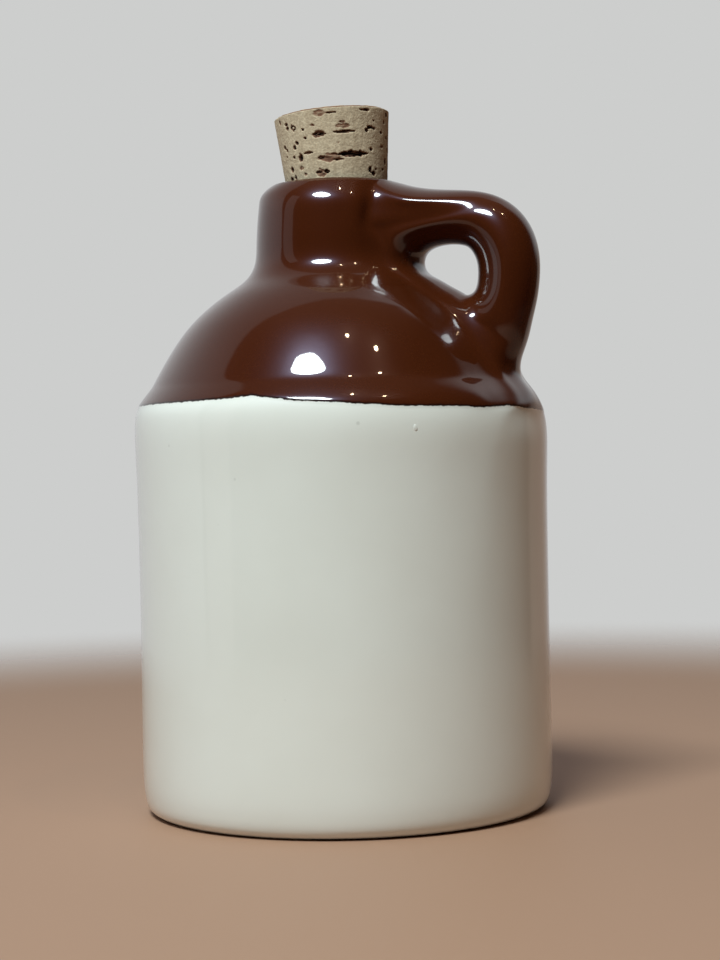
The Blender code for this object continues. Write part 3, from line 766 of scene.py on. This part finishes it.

# Punched natural cork: matt, greyish tan, with faint upright streaks and a fine grain. The walls of the
# pores are reddish brown, and their depths are painted nearly black as shade; the worn top edge takes the
# same colours, which paint a thin line of shade along it. Real cork cells are far finer than this grain,
# which is drawn as coarse as it needs to show.
STREAK_SIZE = 0.909
STREAK_UPRIGHT_SHARE = 0.06
CELL_SIZE = 0.4545
cork_material, tree = new_material("punched_natural_cork")
place = add_node(tree, "ShaderNodeTexCoord").outputs["Object"]
depth = add_node(tree, "ShaderNodeAttribute", {"attribute_name": "pore_depth"}).outputs["Fac"]
stretched = add_node(tree, "ShaderNodeMapping", {}, {"Scale": (1.0, 1.0, STREAK_UPRIGHT_SHARE)},
                     {"Vector": place})
streak = add_node(tree, "ShaderNodeTexNoise", {}, {"Scale": 1 / (STREAK_SIZE * MM), "Detail": 3.0},
                  {"Vector": stretched.outputs[0]})
fine = add_node(tree, "ShaderNodeTexNoise", {}, {"Scale": 1 / (CELL_SIZE * MM), "Detail": 2.0},
                {"Vector": place})
bark = add_node(tree, "ShaderNodeMix", {"data_type": "RGBA"},
                {"A": linear("#af9c82"), "B": linear("#e3d4b8")}, {"Factor": streak.outputs["Fac"]})
grain_share = add_node(tree, "ShaderNodeMapRange", {}, {"From Min": 0.62, "From Max": 0.44, "To Max": 0.35},
                       {"Value": fine.outputs["Fac"]})
grained = add_node(tree, "ShaderNodeMix", {"data_type": "RGBA"}, {"B": linear("#93806a")},
                   {"A": bark.outputs["Result"], "Factor": grain_share.outputs["Result"]})
wall_share = add_node(tree, "ShaderNodeMapRange", {}, {"From Min": 0.03, "From Max": 0.14}, {"Value": depth})
wall_colour = add_node(tree, "ShaderNodeMix", {"data_type": "RGBA"}, {"B": linear("#7d5a47")},
                       {"A": grained.outputs["Result"], "Factor": wall_share.outputs["Result"]})
# Painted shade: the deeper parts of the pores and of the worn top edge are darkened towards nearly black
pore_shade_share = add_node(tree, "ShaderNodeMapRange", {}, {"From Min": 0.16, "From Max": 0.60}, {"Value": depth})
shaded_pore_colour = add_node(tree, "ShaderNodeMix", {"data_type": "RGBA"}, {"B": linear("#1e110b")},
                       {"A": wall_colour.outputs["Result"], "Factor": pore_shade_share.outputs["Result"]})
cork_bump = add_node(tree, "ShaderNodeBump", {}, {"Strength": 0.35, "Distance": 0.0003},
                     {"Height": fine.outputs["Fac"]})
shader = add_node(tree, "ShaderNodeBsdfPrincipled", {}, {"Roughness": 0.85, "Specular IOR Level": 0.3},
                  {"Base Color": shaded_pore_colour.outputs["Result"], "Normal": cork_bump.outputs["Normal"]})
add_node(tree, "ShaderNodeOutputMaterial", {}, {}, {"Surface": shader.outputs["BSDF"]})
cork_mesh.materials.append(cork_material)
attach(cork, "root")
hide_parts("cork_stopper")

# Studio
# A plain floor that fades out into a pale backdrop, one soft high light at the front left, and two small
# warm lamps. The glaze mirrors a dim surround with a pale screen behind the jug and a pale card at its left.
CAMERA_AZIMUTH = 25.0
CAMERA_DISTANCE = 394.15
CAMERA_ASIDE = 3.484
CAMERA_HEIGHT = 66.94
CAMERA_PITCH = 0.518
CAMERA_ROLL = 1.22
LENS = 50.5
SENSOR_HEIGHT = 24.0
CLIP_START = 10.0
TARGET = Vector((0.0, 0.0, 75.0)) * MM

turn = Matrix.Rotation(math.radians(CAMERA_AZIMUTH), 4, "Z")
camera_data = bpy.data.cameras.new("camera")
camera_data.sensor_fit = "VERTICAL"
camera_data.sensor_height = SENSOR_HEIGHT
camera_data.lens = LENS
camera_data.clip_start = CLIP_START * MM
camera = bpy.data.objects.new("camera", camera_data)
bpy.context.scene.collection.objects.link(camera)
camera_place = Matrix.Translation(Vector((CAMERA_ASIDE, -CAMERA_DISTANCE, CAMERA_HEIGHT)) * MM)
pitch = Matrix.Rotation(math.radians(90.0 - CAMERA_PITCH), 4, "X")
roll = Matrix.Rotation(math.radians(-CAMERA_ROLL), 4, "Z")
camera.matrix_world = turn @ camera_place @ pitch @ roll
bpy.context.scene.camera = camera


# Distances and sizes of the lights are in metres, and their powers in watts
def add_light(name, azimuth, elevation, distance, size, power, colour):
    """A disc light that faces the jug; azimuth 0 is the camera's side and positive is to its right."""
    data = bpy.data.lights.new(name, "AREA")
    data.shape = "ELLIPSE"
    data.size, data.size_y = size
    data.energy = power
    data.color = linear(colour)[:3]
    light = bpy.data.objects.new(name, data)
    bpy.context.scene.collection.objects.link(light)
    across, up = math.radians(azimuth), math.radians(elevation)
    direction = Vector((math.sin(across) * math.cos(up), -math.cos(across) * math.cos(up), math.sin(up)))
    light.location = TARGET + turn @ direction * distance
    light.rotation_euler = (TARGET - light.location).to_track_quat("-Z", "Y").to_euler()


add_light("key", -23.0, 55.5, 1.1, (0.42, 0.29), 16.0, "#edfafa")
add_light("lamp_a", 17.0, 70.0, 1.2, (0.03, 0.03), 0.5, "#ffdcb0")
add_light("lamp_b", 43.0, 62.0, 1.2, (0.03, 0.03), 0.5, "#ffdcb0")

# The floor is a disc that fades out behind the jug, from the first of these radii to the second
FLOOR_FADE = (220.0, 450.0)
FLOOR_STEPS = 96
floor_bm = bmesh.new()
bmesh.ops.create_circle(floor_bm, cap_ends=True, segments=FLOOR_STEPS, radius=FLOOR_FADE[1] * MM)
floor_mesh = bpy.data.meshes.new("floor")
floor_bm.to_mesh(floor_mesh)
floor_bm.free()
floor = bpy.data.objects.new("floor", floor_mesh)
bpy.context.scene.collection.objects.link(floor)

# Matt warm card, which gives a soft shadow and a little warm light from below
floor_material, tree = new_material("pale_floor")
place = add_node(tree, "ShaderNodeTexCoord").outputs["Object"]
out = add_node(tree, "ShaderNodeVectorMath", {"operation": "LENGTH"}, {}, {0: place}).outputs["Value"]
faded = add_node(tree, "ShaderNodeMapRange", {"interpolation_type": "SMOOTHSTEP"},
                 {"From Min": FLOOR_FADE[0] * MM, "From Max": FLOOR_FADE[1] * MM}, {"Value": out})
shader = add_node(tree, "ShaderNodeBsdfPrincipled", {}, {"Base Color": linear("#a07e68"), "Roughness": 0.6})
clear = add_node(tree, "ShaderNodeBsdfTransparent")
surface = add_node(tree, "ShaderNodeMixShader", {}, {},
                   {0: faded.outputs["Result"], 1: shader.outputs["BSDF"], 2: clear.outputs["BSDF"]})
add_node(tree, "ShaderNodeOutputMaterial", {}, {}, {"Surface": surface.outputs[0]})
floor_mesh.materials.append(floor_material)

# The surround's parts are limited by degrees from straight behind the jug, negative to the left, and by
# height from 0 level with the jug to 1 overhead. Each limit is where the part starts and where it is full.
# The camera itself sees a plain pale backdrop.
SCREEN_LEFT = (-98.6, -97.6)
SCREEN_RIGHT = (73.0, 54.0)
SCREEN_TOP = (-0.05, 0.15)
SCREEN_DIM_UP = (0.3, 0.9)
SCREEN_DIM_LEFT = (50.0, 15.0)
SCREEN_WARM_DOWN = (0.30, 0.08)
SCREEN_WARM_RIGHT = (5.0, 35.0)
CARD_LEFT = (-117.5, -116.5)
CARD_RIGHT = (-99.6, -100.6)
CARD_TOP = (0.72, 0.69)
OVERHEAD = (0.80, 1.0)
LOW_TOP = (0.26, 0.06)
LOW_LEFT = (50.0, 57.0)
LOW_RIGHT = (92.0, 84.0)
SHADED_SIDE = (-0.3, 0.25)

# The top edge of the screen is cut by two slanted planes, each as (direction it slants to, how steeply)
SCREEN_SLANTS = [(-170.0, 4.2), (135.0, 2.0)]

world = bpy.data.worlds.new("studio")
bpy.context.scene.world = world
world.use_nodes = True
tree = world.node_tree
tree.nodes.clear()
direction = add_node(tree, "ShaderNodeTexCoord").outputs["Generated"]
turned = add_node(tree, "ShaderNodeVectorRotate", {"rotation_type": "Z_AXIS"},
                  {"Angle": -math.radians(CAMERA_AZIMUTH)}, {"Vector": direction}).outputs[0]
axes = add_node(tree, "ShaderNodeSeparateXYZ", {}, {}, {"Vector": turned}).outputs
height = axes["Z"]
angle = add_node(tree, "ShaderNodeMath", {"operation": "ARCTAN2"}, {}, {0: axes["X"], 1: axes["Y"]})
behind = add_node(tree, "ShaderNodeMath", {"operation": "DEGREES"}, {}, {0: angle.outputs[0]}).outputs[0]
ray = add_node(tree, "ShaderNodeLightPath").outputs


def part_share(limits, share=None):
    """Share of a part of the surround, as the product of smooth steps up from (measure, (start, full))."""
    for measure, (start, full) in limits:
        step = add_node(tree, "ShaderNodeMapRange", {"interpolation_type": "SMOOTHSTEP"},
                        {"From Min": start, "From Max": full}, {"Value": measure}).outputs["Result"]
        if share is not None:
            step = add_node(tree, "ShaderNodeMath", {"operation": "MULTIPLY"}, {},
                            {0: share, 1: step}).outputs[0]
        share = step
    return share


slants = []
for towards, steepness in SCREEN_SLANTS:
    across = math.radians(towards)
    normal = (steepness * math.sin(across), -steepness * math.cos(across), -1.0)
    slant = add_node(tree, "ShaderNodeVectorMath", {"operation": "DOT_PRODUCT"}, {1: normal}, {0: turned})
    slants.append(slant.outputs["Value"])
below_top = add_node(tree, "ShaderNodeMath", {"operation": "MAXIMUM"}, {},
                     {0: slants[0], 1: slants[1]}).outputs[0]

# A pale screen, dimmer where it is high and warmer where it is low at the right
dim_share = part_share([(height, SCREEN_DIM_UP), (behind, SCREEN_DIM_LEFT)])
warm_share = part_share([(height, SCREEN_WARM_DOWN), (behind, SCREEN_WARM_RIGHT)])
screen = add_node(tree, "ShaderNodeMix", {"data_type": "RGBA"},
                  {"A": linear("#c4c5c6"), "B": linear("#8f8d8c")}, {"Factor": dim_share})
screen = add_node(tree, "ShaderNodeMix", {"data_type": "RGBA"}, {"B": linear("#9c8a7e")},
                  {"A": screen.outputs["Result"], "Factor": warm_share})

# The dim surround, the card, the screen and a brown low part at the right, each laid over the one before
card_share = part_share([(behind, CARD_LEFT), (behind, CARD_RIGHT), (height, CARD_TOP)])
screen_share = part_share([(behind, SCREEN_LEFT), (behind, SCREEN_RIGHT), (below_top, SCREEN_TOP)])
low_share = part_share([(height, LOW_TOP), (behind, LOW_LEFT), (behind, LOW_RIGHT)])
surround = add_node(tree, "ShaderNodeMix", {"data_type": "RGBA"},
                    {"A": linear("#1d1613"), "B": linear("#594a40")},
                    {"Factor": part_share([(height, OVERHEAD)])})
surround = add_node(tree, "ShaderNodeMix", {"data_type": "RGBA"}, {"B": linear("#a7a19f")},
                    {"A": surround.outputs["Result"], "Factor": card_share})
surround = add_node(tree, "ShaderNodeMix", {"data_type": "RGBA"}, {},
                    {"A": surround.outputs["Result"], "B": screen.outputs["Result"], "Factor": screen_share})
surround = add_node(tree, "ShaderNodeMix", {"data_type": "RGBA"}, {"B": linear("#4a2c1a")},
                    {"A": surround.outputs["Result"], "Factor": low_share})

# The right side gets less light from the surround than the left, and the camera sees the backdrop
shaded_share = part_share([(axes["X"], SHADED_SIDE)], ray["Is Diffuse Ray"])
for colour, share in (("#382315", shaded_share), ("#cdcecd", ray["Is Camera Ray"])):
    surround = add_node(tree, "ShaderNodeMix", {"data_type": "RGBA"}, {"B": linear(colour)},
                        {"A": surround.outputs["Result"], "Factor": share})
background = add_node(tree, "ShaderNodeBackground", {}, {"Strength": 1.0},
                      {"Color": surround.outputs["Result"]})
add_node(tree, "ShaderNodeOutputWorld", {}, {}, {"Surface": background.outputs[0]})
bpy.context.scene.view_settings.view_transform = "Standard"
